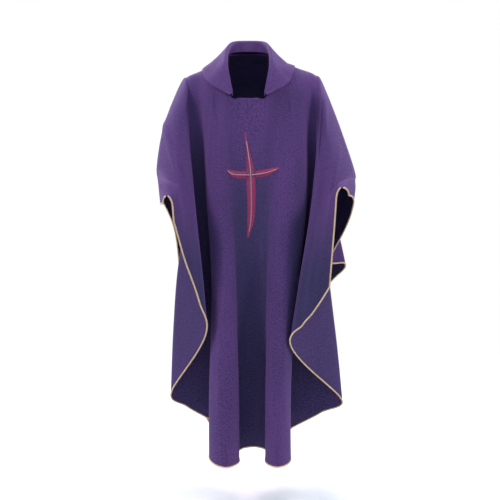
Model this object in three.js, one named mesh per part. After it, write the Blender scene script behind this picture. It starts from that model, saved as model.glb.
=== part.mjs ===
// A chasuble: a wide liturgical overgarment, standing in the shape it takes when worn.
// Millimetres, +Z up, the front faces -Y, and the origin is between the shoulders, where the
// cloth rests. Each panel is a row of fold lines that hang from the shoulder-and-arm line.
import * as THREE from 'three';

// Cloth and trims
const CLOTH = 1.6;
const GAP = 0.4;
const STITCH_GAP = 0.6;
const SEAM_GAP = 4;
const PIPING_GAP = 1.9;
const LINING_GAP = 1.6;
const FACING_GAP = 3.5;
const PIPING_RADIUS = 2.6;
const CORD_RADIUS = 0.9;
const CORD_SIDES = 6;
const STITCHING = 0.9;
const STATION_STEPS = 3;
const FACING_TURN = 1;
const FACING_DEPTH = 60;
const FACING_SHARES = [0, 0.25, 0.5, 0.75, 1];
const FACING = 1.0;
const TAPE_ROWS = [9, 4.5, 0.9];
const TAPE_FIRST_FOLD = 4;
const PIPING_SIDES = 6;

// Plan curves of the folds are given at these heights, one every LEVEL_STEP down
const FIRST_LEVEL = -100;
const LEVEL_STEP = 300;

// Rows of the cloth grids
const ROLL_ROWS = 5;
const DROP_ROWS = 8;
const PER_FOLD = 3;

// Fold lines of the front that bound the chest
const CHEST_FIRST_FOLD = 9;
const CHEST_LAST_FOLD = 21;

// Shoulder-and-arm line, from the wrist to the side of the neck
const RIGHT_ARM = [
  [-256, -235, -400], [-285, -140, -365], [-302, -15, -318], [-278, 0, -180], [-222, 0, -45],
  [-201, 0, -25], [-184, 0, -17], [-163, 0, -9], [-130, 0, 6], [-98, 0, 22], [-76, -2, 38],
];
const LEFT_ARM = [
  [292, -235, -374], [330, -140, -352], [351, -12, -338], [300, 0, -185], [240, 0, -40],
  [219, 0, -20], [203, 0, -11], [182, 0, -4], [145, 0, 8], [104, 0, 22], [77, -2, 38],
];
const FRONT_NECK = [
  [-75, -78, -2], [-67, -118, -48], [-54, -138, -93], [-26, -141, -95], [0, -142, -96],
  [26, -141, -95], [54, -138, -93], [67, -118, -48], [75, -78, -2],
];
const BACK_NECK = [
  [-66, 34, 47], [-36, 55, 51], [0, 62, 52], [36, 55, 51], [66, 34, 47],
];

// Fold lines: how far below the line the roll ends, plan points at each level, hem height
const FRONT_RIGHT = [
  [35, [[-250, -235], [-240, -236], [-218, -222], [-200, -205], [-190, -200]], -480],
  [50, [[-275, -150], [-225, -205], [-198, -208], [-180, -200], [-172, -195]], -590],
  [60, [[-300, -60], [-215, -175], [-177, -196], [-160, -192], [-155, -190]], -670],
  [80, [[-262, -70], [-198, -145], [-160, -185], [-148, -188], [-145, -185]], -745],
  [80, [[-204, -84], [-176, -118], [-148, -160], [-128, -175], [-122, -175]], -848],
  [80, [[-190, -70], [-200, -60], [-236, -62], [-252, -60], [-262, -60]], -1062],
  [90, [[-172, -68], [-172, -40], [-190, -35], [-200, -35], [-205, -35]], -1120],
  [95, [[-152, -74], [-142, -45], [-120, -42], [-100, -40], [-98, -45]], -1190],
  [100, [[-128, -98], [-128, -105], [-117, -125], [-128, -140], [-131, -150]], -1260],
  [110, [[-104, -112], [-98, -140], [-85, -170], [-78, -200], [-80, -215]], -1277],
  [120, [[-86, -124], [-62, -148], [-48, -150], [-36, -160], [-33, -160]], -1276],
];
const FRONT_CENTRE = [
  [90, [[-74, -131], [-46, -146], [-37, -128], [-36, -118], [-36, -110]], -1256],
  [60, [[-64, -135], [-33, -145], [-22, -118], [-24, -97], [-24, -88]], -1249],
  [30, [[-54, -139], [-22, -144], [-12, -112], [-8, -90], [-8, -78]], -1247],
  [20, [[-27, -142], [-11, -144], [-2, -109], [6, -88], [8, -74]], -1246],
  [20, [[0, -143], [0, -144], [8, -108], [14, -87], [16, -73]], -1246],
  [20, [[27, -142], [14, -144], [18, -108], [22, -87], [24, -72]], -1246],
  [30, [[54, -139], [28, -144], [28, -110], [32, -88], [34, -75]], -1247],
  [60, [[64, -135], [44, -145], [42, -116], [48, -96], [50, -86]], -1248],
  [90, [[73, -131], [62, -146], [58, -130], [60, -117], [61, -108]], -1252],
];
const FRONT_LEFT = [
  [35, [[285, -235], [275, -236], [256, -220], [235, -205], [225, -200]], -690],
  [50, [[300, -150], [262, -205], [234, -210], [212, -200], [200, -195]], -735],
  [60, [[330, -60], [256, -170], [210, -198], [190, -195], [180, -190]], -779],
  [80, [[270, -75], [238, -140], [184, -188], [165, -185], [158, -180]], -816],
  [80, [[236, -85], [206, -118], [160, -170], [122, -180], [115, -178]], -884],
  [80, [[216, -72], [232, -60], [264, -62], [297, -60], [320, -60]], -1085],
  [90, [[204, -68], [208, -42], [212, -38], [230, -38], [245, -38]], -1140],
  [95, [[190, -78], [192, -56], [160, -44], [120, -42], [108, -45]], -1215],
  [100, [[170, -93], [182, -112], [157, -130], [138, -142], [137, -150]], -1266],
  [110, [[126, -110], [136, -142], [114, -172], [100, -200], [98, -215]], -1276],
  [120, [[88, -124], [84, -148], [70, -155], [60, -165], [58, -165]], -1274],
];
const BACK_RIGHT = [
  [25, [[-275, -225], [-270, -228], [-252, -200], [-245, -180], [-240, -170]], -425],
  [40, [[-312, -120], [-288, -120], [-250, -100], [-240, -80], [-235, -70]], -434],
  [60, [[-318, 20], [-286, 10], [-240, 0], [-235, 0], [-232, 0]], -446],
  [80, [[-285, 75], [-250, 55], [-232, 30], [-226, 25], [-224, 25]], -600],
  [80, [[-228, 85], [-245, 95], [-222, 60], [-222, 45], [-225, 40]], -900],
  [80, [[-200, 92], [-208, 118], [-208, 110], [-222, 90], [-232, 75]], -1060],
  [90, [[-178, 98], [-172, 126], [-180, 142], [-198, 150], [-210, 150]], -1152],
  [95, [[-152, 106], [-140, 122], [-144, 112], [-152, 106], [-158, 105]], -1180],
  [100, [[-126, 114], [-114, 130], [-112, 150], [-114, 180], [-118, 200]], -1262],
  [110, [[-100, 120], [-88, 132], [-82, 126], [-80, 122], [-80, 122]], -1286],
  [115, [[-78, 125], [-64, 138], [-54, 155], [-46, 185], [-44, 205]], -1292],
];
const BACK_CENTRE = [
  [115, [[-56, 128], [-42, 138], [-32, 140], [-24, 142], [-22, 142]], -1288],
  [115, [[-30, 131], [-22, 138], [-12, 134], [-8, 124], [-6, 122]], -1284],
  [115, [[0, 132], [0, 139], [8, 142], [12, 152], [14, 158]], -1286],
  [115, [[30, 131], [22, 138], [28, 150], [36, 176], [38, 192]], -1290],
  [115, [[56, 128], [42, 138], [48, 142], [56, 150], [60, 156]], -1288],
];
const BACK_LEFT = [
  [25, [[320, -225], [314, -226], [290, -200], [280, -180], [272, -170]], -398],
  [40, [[364, -120], [342, -118], [300, -90], [278, -80], [270, -70]], -436],
  [60, [[370, 20], [332, 5], [252, -25], [250, -20], [250, -20]], -622],
  [80, [[315, 75], [276, 45], [330, 15], [300, 20], [300, 20]], -648],
  [80, [[246, 85], [262, 95], [250, 60], [252, 45], [262, 40]], -760],
  [80, [[218, 92], [226, 118], [228, 112], [250, 92], [268, 78]], -1060],
  [90, [[196, 98], [190, 126], [200, 142], [224, 150], [238, 150]], -1176],
  [95, [[170, 106], [158, 122], [164, 110], [176, 102], [184, 100]], -1200],
  [100, [[140, 114], [130, 130], [132, 150], [140, 180], [144, 200]], -1258],
  [110, [[110, 120], [100, 132], [98, 128], [104, 122], [108, 120]], -1284],
  [115, [[80, 125], [68, 138], [72, 128], [80, 116], [84, 112]], -1286],
];

// Collar sections from the front corner round to the middle of the back:
// neck seam, roll line, free edge
const COLLAR = [
  [[-52, -138, -88], [-50, -146, -80], [-60, -150, -84]],
  [[-63, -119, -43], [-59, -132, -34], [-96, -136, -66]],
  [[-71, -79, 3], [-68, -96, 18], [-130, -106, -42]],
  [[-72, -10, 43], [-66, -34, 60], [-150, -40, 8]],
  [[-60, 30, 54], [-56, 16, 82], [-144, 38, 14]],
  [[-34, 50, 58], [-38, 50, 92], [-96, 106, 14]],
  [[0, 56, 59], [0, 60, 94], [0, 140, 10]],
];
const ROLL_RADIUS = 6;
const COLLAR_LAYER = 1.2;
const COLLAR_COLUMNS = 30;
const INTERFACING_INSET = 2;
const ROLL_DEGREES = [180, 135, 90, 50];
const FALL_SAG = 0.06;
const FALL_SHARES = [0.3, 0.6, 0.85, 1];

// Embroidered cross: stations of [height, left edge, right edge] and [x, lower, upper edge]
const UPRIGHT = [
  [-204, -12, -11], [-235, -9, -4], [-270, -6, 4], [-320, -6, 17], [-372, -5, 21],
  [-440, -3, 21], [-480, -3, 18], [-510, -3, 10], [-542, -3, -2],
];
const RIGHT_ARM_BLADE = [[-69, -325, -323], [-52, -345, -326], [-26, -349, -328], [-7, -349, -328]];
const LEFT_ARM_BLADE = [[22, -346, -328], [54, -343, -322], [72, -336, -318], [98, -319, -317]];
const STABILISER_TOP = -185;
const STABILISER_BOTTOM = -569;
const STABILISER_STEP = 64;

// Smooth curve through rows of numbers, one row per whole step of t
function along(rows, t) {
  const i = Math.min(Math.max(Math.floor(t), 0), rows.length - 2);
  const u = t - i;
  const before = rows[Math.max(i - 1, 0)];
  const after = rows[Math.min(i + 2, rows.length - 1)];
  return rows[i].map((b, k) => {
    const c = rows[i + 1][k];
    const slopeIn = (c - before[k]) / 2;
    const slopeOut = (after[k] - b) / 2;
    const rise = c - b;
    return b + u * (slopeIn + u * (3 * rise - 2 * slopeIn - slopeOut
      + u * (slopeIn + slopeOut - 2 * rise)));
  });
}

// A panel: its support line and its fold lines, from the garment's right wrist to its left
function panel(neck, right, centre, left) {
  const tops = [...RIGHT_ARM, ...neck, ...[...LEFT_ARM].reverse()];
  const folds = [...right, ...centre, ...[...left].reverse()];
  return {
    last: tops.length - 1,
    shape: folds.map(([roll, plan, hem], i) => [...tops[i], roll, hem, ...plan.flat()]),
  };
}

const FRONT = panel(FRONT_NECK, FRONT_RIGHT, FRONT_CENTRE, FRONT_LEFT);
const BACK = panel(BACK_NECK, BACK_RIGHT, BACK_CENTRE, BACK_LEFT);

// One vertical thread of a panel, at s along its fold lines
function thread(side, s) {
  const [x, y, z, roll, hem, ...plan] = along(side.shape, s);
  const levels = [];
  for (let i = 0; i < plan.length; i += 2) levels.push([plan[i], plan[i + 1]]);
  return { top: new THREE.Vector3(x, y, z), roll, hem, levels };
}

// The point of a thread at a height, once it hangs free of the roll
function hanging(line, z) {
  const [x, y] = along(line.levels, Math.max(0, (FIRST_LEVEL - z) / LEVEL_STEP));
  return new THREE.Vector3(x, y, z);
}

// The point where the cloth has turned by an angle over the shoulder or arm
function rolling(line, angle) {
  const z = line.top.z - line.roll * (1 - Math.cos(angle));
  const point = line.top.clone().lerp(hanging(line, z), Math.sin(angle));
  return point.setZ(z);
}

// Points down one thread, from just past the support line to the hem
function threadPoints(side, s) {
  const line = thread(side, s);
  const reach = line.top.distanceTo(hanging(line, line.top.z - line.roll));
  const start = Math.asin(Math.min(0.5, SEAM_GAP / reach));
  const points = [];
  for (let i = 0; i < ROLL_ROWS; i += 1) {
    points.push(rolling(line, start + (Math.PI / 2 - start) * (i / ROLL_ROWS)));
  }
  const free = line.top.z - line.roll;
  for (let i = 0; i <= DROP_ROWS; i += 1) {
    points.push(hanging(line, free + (line.hem - free) * (i / DROP_ROWS)));
  }
  return points;
}

// A sheet as columns of points, for s from one value to another
function sheet(side, from, to, perFold) {
  const count = Math.round((to - from) * perFold);
  const columns = [];
  for (let i = 0; i <= count; i += 1) {
    columns.push(threadPoints(side, from + (to - from) * (i / count)));
  }
  return columns;
}

// Unit normals of a grid of points, on the side where columns turn clockwise into rows
function normals(grid) {
  return grid.map((column, i) => column.map((_, j) => {
    const across = grid[Math.min(i + 1, grid.length - 1)][j].clone()
      .sub(grid[Math.max(i - 1, 0)][j]);
    const down = column[Math.min(j + 1, column.length - 1)].clone()
      .sub(column[Math.max(j - 1, 0)]);
    return down.cross(across).normalize();
  }));
}

// A closed solid between two offsets of a grid, the lower offset first
function shell(grid, low, high) {
  const direction = normals(grid);
  const columns = grid.length;
  const rows = grid[0].length;
  const layer = (offset) => grid.flatMap((column, i) => column.map(
    (point, j) => point.clone().addScaledVector(direction[i][j], offset),
  ));
  const points = [...layer(low), ...layer(high)];
  const at = (i, j, top) => (top ? columns * rows : 0) + i * rows + j;
  const faces = [];
  const quad = (a, b, c, d) => faces.push(a, b, c, a, c, d);
  for (let i = 0; i + 1 < columns; i += 1) {
    for (let j = 0; j + 1 < rows; j += 1) {
      quad(at(i, j, 1), at(i, j + 1, 1), at(i + 1, j + 1, 1), at(i + 1, j, 1));
      quad(at(i, j, 0), at(i + 1, j, 0), at(i + 1, j + 1, 0), at(i, j + 1, 0));
    }
  }
  for (let i = 0; i + 1 < columns; i += 1) {
    quad(at(i, 0, 1), at(i + 1, 0, 1), at(i + 1, 0, 0), at(i, 0, 0));
    quad(at(i, rows - 1, 0), at(i + 1, rows - 1, 0), at(i + 1, rows - 1, 1), at(i, rows - 1, 1));
  }
  for (let j = 0; j + 1 < rows; j += 1) {
    quad(at(0, j, 0), at(0, j + 1, 0), at(0, j + 1, 1), at(0, j, 1));
    quad(at(columns - 1, j, 1), at(columns - 1, j + 1, 1), at(columns - 1, j + 1, 0),
      at(columns - 1, j, 0));
  }
  const geometry = new THREE.BufferGeometry();
  geometry.setAttribute('position', new THREE.Float32BufferAttribute(
    points.flatMap((p) => p.toArray()), 3));
  geometry.setIndex(faces);
  return geometry;
}

// A curve that steps evenly through a list of points
class Route extends THREE.Curve {
  constructor(points) {
    super();
    this.rows = points.map((p) => p.toArray());
  }

  getPoint(t) {
    return new THREE.Vector3(...along(this.rows, t * (this.rows.length - 1)));
  }

  getPointAt(t) {
    return this.getPoint(t);
  }

  getTangentAt(t) {
    return this.getTangent(t);
  }
}

// A round tube along a list of points
function tube(points, radius, sides) {
  const section = new THREE.Shape();
  for (let i = 0; i < sides; i += 1) {
    const angle = (2 * Math.PI * i) / sides;
    const place = [radius * Math.cos(angle), radius * Math.sin(angle)];
    if (i === 0) section.moveTo(...place);
    else section.lineTo(...place);
  }
  return new THREE.ExtrudeGeometry(section, {
    steps: points.length - 1,
    extrudePath: new Route(points),
    bevelEnabled: false,
  });
}

// The outline that piping follows: down one side edge, along the hem and up the other,
// moved off the cloth by a distance
function outline(grid, distance) {
  const columns = grid.length - 1;
  const rows = grid[0].length - 1;
  const path = [];
  for (let j = 1; j <= rows; j += 1) path.push([0, j, 1, Math.min(j, rows - 1)]);
  for (let i = 1; i < columns; i += 1) path.push([i, rows, i, rows - 1]);
  for (let j = rows; j >= 1; j -= 1) path.push([columns, j, columns - 1, Math.min(j, rows - 1)]);
  return path.map(([i, j, inI, inJ], k) => {
    const [beforeI, beforeJ] = path[Math.max(k - 1, 0)];
    const [afterI, afterJ] = path[Math.min(k + 1, path.length - 1)];
    const run = grid[afterI][afterJ].clone().sub(grid[beforeI][beforeJ]).normalize();
    const out = grid[i][j].clone().sub(grid[inI][inJ]);
    out.addScaledVector(run, -out.dot(run)).normalize();
    return grid[i][j].clone().addScaledVector(out, distance);
  });
}

// The point of a column of a cloth grid at a height
function atHeight(column, z) {
  let j = 0;
  while (j + 2 < column.length && column[j + 1].z > z) j += 1;
  const share = (column[j].z - z) / (column[j].z - column[j + 1].z);
  return column[j].clone().lerp(column[j + 1], share);
}

// The point of a column of a cloth grid at a distance down from its top
function atDistance(column, distance) {
  let j = 0;
  let left = distance;
  while (j + 2 < column.length && column[j].distanceTo(column[j + 1]) < left) {
    left -= column[j].distanceTo(column[j + 1]);
    j += 1;
  }
  return column[j].clone().lerp(column[j + 1], left / column[j].distanceTo(column[j + 1]));
}

// The point of the chest cloth at x and a height
function onChest(x, z) {
  const line = CHEST.map((column) => atHeight(column, z));
  let i = 0;
  while (i + 2 < line.length && line[i + 1].x < x) i += 1;
  return line[i].clone().lerp(line[i + 1], (x - line[i].x) / (line[i + 1].x - line[i].x));
}

// Stations with others added smoothly between them
function refined(stations) {
  const steps = (stations.length - 1) * STATION_STEPS;
  return Array.from({ length: steps + 1 }, (_, i) => along(stations, i / STATION_STEPS));
}

// A blade of satin stitch on the chest, from stations across it
function blade(stations, place) {
  const grid = [0, 0.5, 1].map((share) => refined(stations).map(
    ([step, low, high]) => place(step, low + (high - low) * share)));
  return shell(grid, CLOTH / 2 + STITCH_GAP, CLOTH / 2 + STITCH_GAP + STITCHING);
}

// The couched cord that lies along the middle of a blade
function couchedCord(stations, place) {
  const height = CLOTH / 2 + STITCH_GAP + STITCHING + STITCH_GAP + CORD_RADIUS;
  const points = refined(stations.slice(1, -1)).map(([step, low, high]) => {
    const point = place(step, (low + high) / 2);
    return point.setY(point.y - height);
  });
  return tube(points, CORD_RADIUS, CORD_SIDES);
}

// The place of a point of the upright, whose stations run down the chest
const onUpright = (z, x) => onChest(x, z);

// A facing strip that follows a neckline on the inside of a panel
function facing(grid, from, to) {
  return grid.slice(from, to + 1).map((column) => FACING_SHARES.map(
    (share) => atDistance(column, FACING_TURN + FACING_DEPTH * share)));
}

// A stay tape under the shoulder seam, half on each panel
function shoulderTape(frontColumns, backColumns) {
  return frontColumns.map((column, i) => [
    ...TAPE_ROWS.map((row) => atDistance(column, row)),
    ...[...TAPE_ROWS].reverse().map((row) => atDistance(backColumns[i], row)),
  ]);
}

// One section of the collar: up the stand, over the roll and down the fall
function collarSection(seam, roll, edge) {
  const [s, r, e] = [seam, roll, edge].map((p) => new THREE.Vector3(...p));
  const out = e.clone().sub(r).setZ(0).normalize();
  const middle = r.clone().addScaledVector(out, ROLL_RADIUS);
  middle.z -= ROLL_RADIUS;
  const arc = ROLL_DEGREES.map((degrees) => {
    const angle = THREE.MathUtils.degToRad(degrees);
    const point = middle.clone().addScaledVector(out, ROLL_RADIUS * Math.cos(angle));
    return point.setZ(middle.z + ROLL_RADIUS * Math.sin(angle));
  });
  const fallStart = arc[arc.length - 1];
  const sag = FALL_SAG * fallStart.distanceTo(e);
  const fall = FALL_SHARES.map((share) => {
    const point = fallStart.clone().lerp(e, share);
    return point.setZ(point.z - sag * Math.sin(Math.PI * share));
  });
  return [s, s.clone().lerp(arc[0], 0.5), ...arc, ...fall];
}

// The collar's middle surface, from the right front corner round the neck to the left
function collarGrid() {
  const mirrored = COLLAR.slice(0, -1).reverse().map(
    (points) => points.map(([x, y, z]) => [-x, y, z]));
  const rows = [...COLLAR, ...mirrored].map((points) => points.flat());
  const grid = [];
  for (let i = 0; i <= COLLAR_COLUMNS; i += 1) {
    const row = along(rows, ((rows.length - 1) * i) / COLLAR_COLUMNS);
    grid.push(collarSection(row.slice(0, 3), row.slice(3, 6), row.slice(6, 9)));
  }
  return grid;
}

const COLOURS = {
  cloth: { color: 0x4a3478, roughness: 0.85, metalness: 0 },
  lining: { color: 0x3c2a60, roughness: 0.9, metalness: 0 },
  interfacing: { color: 0xd8d4cc, roughness: 0.95, metalness: 0 },
  gold: { color: 0xc3a578, roughness: 0.5, metalness: 0.3 },
  crimson: { color: 0xa0235f, roughness: 0.55, metalness: 0 },
  silver: { color: 0x96909a, roughness: 0.4, metalness: 0.6 },
};

const chasuble = new THREE.Group();

function add(name, geometry, colour) {
  const mesh = new THREE.Mesh(geometry, new THREE.MeshStandardMaterial(COLOURS[colour]));
  mesh.name = name;
  chasuble.add(mesh);
}

// Turns a grid over, so that its normals point to its other side
const turned = (grid) => [...grid].reverse();

const FRONT_GRID = sheet(FRONT, 0, FRONT.last, PER_FOLD);
const BACK_GRID = sheet(BACK, 0, BACK.last, PER_FOLD);
const CHEST = FRONT_GRID.slice(CHEST_FIRST_FOLD * PER_FOLD, CHEST_LAST_FOLD * PER_FOLD + 1);

function addPanels() {
  const half = CLOTH / 2;
  add('front_panel', shell(FRONT_GRID, -half, half), 'cloth');
  add('back_panel', shell(turned(BACK_GRID), -half, half), 'cloth');
  const off = PIPING_RADIUS + PIPING_GAP;
  add('front_edge_piping', tube(outline(FRONT_GRID, off), PIPING_RADIUS, PIPING_SIDES), 'gold');
  add('back_edge_piping', tube(outline(turned(BACK_GRID), off), PIPING_RADIUS, PIPING_SIDES), 'gold');
}

function addCollar() {
  const layer = COLLAR_LAYER;
  const pitch = layer + GAP;
  const grid = turned(collarGrid());
  add('upper_collar', shell(grid, pitch - layer / 2, pitch + layer / 2), 'cloth');
  add('under_collar', shell(grid, -pitch - layer / 2, -pitch + layer / 2), 'cloth');
  const inset = grid.slice(INTERFACING_INSET, -INTERFACING_INSET);
  const inner = inset.map((column) => column.slice(1, -1));
  add('collar_interfacing', shell(inner, -layer / 2, layer / 2), 'interfacing');
}

function addFacings() {
  const outer = -CLOTH / 2 - LINING_GAP;
  const inside = -CLOTH / 2 - FACING_GAP;
  const neck = RIGHT_ARM.length;
  const frontFrom = neck * PER_FOLD;
  const frontTo = (neck + FRONT_NECK.length - 1) * PER_FOLD;
  const front = facing(FRONT_GRID, frontFrom + 1, frontTo - 1);
  add('front_neck_facing', shell(front, inside - FACING, inside), 'lining');
  const backTo = (neck + BACK_NECK.length - 1) * PER_FOLD;
  const back = turned(facing(BACK_GRID, neck * PER_FOLD, backTo));
  add('back_neck_facing', shell(back, inside - FACING, inside), 'lining');
  const frontColumns = FRONT_GRID.filter((_, i) => i % PER_FOLD === 0);
  const backColumns = BACK_GRID.filter((_, i) => i % PER_FOLD === 0);
  const span = [TAPE_FIRST_FOLD, neck - 1];
  const right = shoulderTape(frontColumns.slice(...span), backColumns.slice(...span));
  add('right_shoulder_tape', shell(turned(right), outer - FACING, outer), 'lining');
  const other = [1 - neck, -TAPE_FIRST_FOLD];
  const left = shoulderTape(frontColumns.slice(...other), backColumns.slice(...other));
  add('left_shoulder_tape', shell(turned(left), outer - FACING, outer), 'lining');
}

function addCross() {
  add('cross_upright', blade(UPRIGHT, onUpright), 'crimson');
  add('cross_right_arm', blade(RIGHT_ARM_BLADE, onChest), 'crimson');
  add('cross_left_arm', blade(LEFT_ARM_BLADE, onChest), 'crimson');
  add('upright_cord', couchedCord(UPRIGHT, onUpright), 'silver');
  add('right_arm_cord', couchedCord(RIGHT_ARM_BLADE, onChest), 'silver');
  add('left_arm_cord', couchedCord(LEFT_ARM_BLADE, onChest), 'silver');
  const outer = -CLOTH / 2 - LINING_GAP;
  const heights = [];
  for (let z = STABILISER_TOP; z >= STABILISER_BOTTOM; z -= STABILISER_STEP) heights.push(z);
  const stabiliser = CHEST.map((column) => heights.map((z) => atHeight(column, z)));
  add('cross_stabiliser', shell(stabiliser, outer - FACING, outer), 'interfacing');
}

addPanels();
addCollar();
addFacings();
addCross();

export default chasuble;
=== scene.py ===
import math
import random

import bpy
import numpy as np
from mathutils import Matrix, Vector, noise
from mathutils.bvhtree import BVHTree
from mathutils.kdtree import KDTree


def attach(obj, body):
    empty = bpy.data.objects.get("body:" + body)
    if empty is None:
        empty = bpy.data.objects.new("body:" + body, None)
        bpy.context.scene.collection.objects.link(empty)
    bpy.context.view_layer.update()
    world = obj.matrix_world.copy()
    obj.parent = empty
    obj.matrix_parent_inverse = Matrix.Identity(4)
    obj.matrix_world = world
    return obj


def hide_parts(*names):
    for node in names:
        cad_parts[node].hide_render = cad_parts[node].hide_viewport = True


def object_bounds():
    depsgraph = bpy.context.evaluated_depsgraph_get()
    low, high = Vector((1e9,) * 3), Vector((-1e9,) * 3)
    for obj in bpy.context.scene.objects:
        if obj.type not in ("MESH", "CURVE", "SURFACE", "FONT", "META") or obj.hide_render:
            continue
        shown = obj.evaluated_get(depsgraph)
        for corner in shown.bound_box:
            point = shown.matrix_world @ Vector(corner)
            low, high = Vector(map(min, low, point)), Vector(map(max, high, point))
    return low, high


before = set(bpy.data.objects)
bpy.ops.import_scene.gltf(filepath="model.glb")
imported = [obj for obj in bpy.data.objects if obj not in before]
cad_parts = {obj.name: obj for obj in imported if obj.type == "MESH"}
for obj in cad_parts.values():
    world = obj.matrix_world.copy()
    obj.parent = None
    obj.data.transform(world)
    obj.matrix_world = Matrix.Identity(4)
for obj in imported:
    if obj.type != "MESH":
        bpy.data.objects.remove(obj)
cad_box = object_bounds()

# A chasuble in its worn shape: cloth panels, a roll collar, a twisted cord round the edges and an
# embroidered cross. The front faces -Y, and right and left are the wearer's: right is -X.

random.seed(7)
MM = 0.001

# Plan curves of the folds are given at these heights, in millimetres, as the CAD gives them
FIRST_LEVEL = -100
LEVEL_STEP = 300

# Panels: columns between two fold lines, rows over the roll and below it, and thickness
PER_FOLD = 10
ROLL_ROWS = 14
DROP_ROWS = 120
CLOTH = 1.3 * MM

# Unevenness: waves to a metre across and down, height, its share where held and gain where free
BROAD_WAVES = (9, 1.6, 3.2 * MM, 0.35, 1.0)
FINE_WAVES = (26, 5, 0.9 * MM, 0.4, 0.6)
FREE_FROM, FREE_AT = 0.05, 0.5
FRONT_SEED, BACK_SEED = 3, 11
NOISE_SHIFT = (3.1, 1.7, 2.3)

# Creases: where they rise and fade, and how squarely the cloth has to face them
CREASE_RISE = (-0.05, 0.22)
CREASE_FADE = (0.7, 1.05)
CREASE_FACING = 0.15

# Painted shade in folds: columns to each side that a fold is judged by, its full depth, and its
# share
FOLD_REACHES = (10, 20)
FULL_FOLD = 0.045
PAINTED_SHADE_SHARE = 0.68

# Where the painted shade deepens: fold lines in from the nearer wrist, metres down, and its share
VALLEY_FOLDS, VALLEY_DROP, VALLEY_SHARE = (5.2, 5.8), (0.10, 0.38), 0.7
MIDDLE_FOLDS, MIDDLE_DROP, MIDDLE_SHARE = (9.6, 11.2), (0.16, 0.5), 0.85
SLEEVE_FOLDS, SLEEVE_DROP = (3.3, 4.0), (0.38, 0.68)

# Painted shade in the hollow beside the left pleat: fold lines in from the left wrist and metres
# down
FLANK_FOLDS, FLANK_FOLDS_END = (6.9, 7.7), (8.3, 9.1)
FLANK_DROP, FLANK_DROP_END, FLANK_SHARE = (0.22, 0.5), (0.8, 1.15), 0.8

# Cords: fineness of the path, plies, steps over which an end closes, and its share there
PATH_REFINES = 4
PLIES = 2
END_STEPS = 3
END_SHARE = 0.6
BRAID_RADIUS = 2.7 * MM
BRAID_PITCH = 7.5 * MM
BRAID_STEP = 1.5 * MM
BRAID_SIDES = 14
BRAID_GROOVE = 0.2
SILVER_RADIUS = 1.3 * MM
SILVER_PITCH = 3.4 * MM
SILVER_STEP = 0.7 * MM
SILVER_SIDES = 10
SILVER_GROOVE = 0.25
SILVER_LIFT = 1.1 * MM

# Collar: fineness, its roll in millimetres, its fall, and the thickness and pitch of its layers
COLLAR_STEPS = 120
COLLAR_ROWS = 46
COLLAR_ROLL = 6
COLLAR_ROLL_SHARE = 0.25
COLLAR_ROLL_DEGREES = (180, 135, 90, 50)
FALL_SHARES = (0.3, 0.6, 0.85, 1)
FALL_SAG = 0.06
LAYER = 1.2 * MM
LAYER_PITCH = 1.6 * MM
EDGE_PITCH = 0.64 * MM
LAYER_CLOSES_OVER = 5
INTERFACING_ENDS = 8
INTERFACING_EDGES = 3

# How the collar's fall settles on the shoulders, and the y between which it sinks and lifts
COLLAR_SINK, SINK_DEPTHS = 14 * MM, (-0.115, -0.06)
COLLAR_LIFT, LIFT_DEPTHS = 6 * MM, (-0.11, -0.03)
COLLAR_CLEARANCE = 4 * MM
COLLAR_RISE = 4 * MM
SHOULDER_ROWS = 60
PROBE_ABOVE, PROBE_LENGTH = 0.02, 0.12
NOTHING_BELOW = -1

# Facings and shoulder tapes, inside the cloth
FACING = 0.8 * MM
FACING_GAP = 1.6 * MM
FACING_EDGE = 1.0 * MM
FACING_DEPTH = 0.060
FACING_ROWS = 16
FACING_INSET = 3
TAPE_GAP = 1.8 * MM
TAPE_EDGE = 0.6 * MM
TAPE_HALF_WIDTH = 0.009
TAPE_ROWS = 6
TAPE_FIRST_FOLD = 4
TAPE_ENDS_BEFORE_NECK = 2

# The chest behind the cross: fold lines that bound it, and the extent of its depth table
CHEST_FOLDS = (9, 21)
CHEST_WIDTH, CHEST_COLUMNS = (-0.09, 0.12), 85
CHEST_HEIGHT, CHEST_ROWS = (-0.18, -0.58), 161

# Stabiliser behind the cross
STABILISER = 0.9 * MM
STABILISER_GAP = 2.2 * MM
STABILISER_HEIGHT, STABILISER_ROWS = (-0.185, -0.569), 60

# Satin stitches: distance apart, half width, height, ragged ends, slant and uneven lift
STITCH_PITCH = 0.75 * MM
STITCH_HALF = 0.45 * MM
STITCH_LIFT = 1.0 * MM
STITCH_SINK = 0.15 * MM
STITCH_POINTS = 7
STITCH_RAGGED = 2.4
STITCH_SLANT = 0.6
STITCH_UNEVEN = (0.85, 1.15)
STITCH_END_WIDTH = 0.35
STITCH_SECTION = ((-1, 0), (-0.5, 0.75), (0.5, 0.75), (1, 0))
STITCH_BASE, STITCH_CROWN = 0.55, 0.6
STITCH_SHADE_STEP = 0.37
BLADE_STATIONS = 400
CORD_STATIONS = 60

# Topstitched hem: distance from the edge, half width of the furrow, stitch length and fold
HEM_STITCH = 0.012
HEM_FURROW = (0.0006, 0.0012)
HEM_STITCH_LENGTH = 0.0035
HEM_FOLD = (0.0115, 0.0135)

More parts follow.
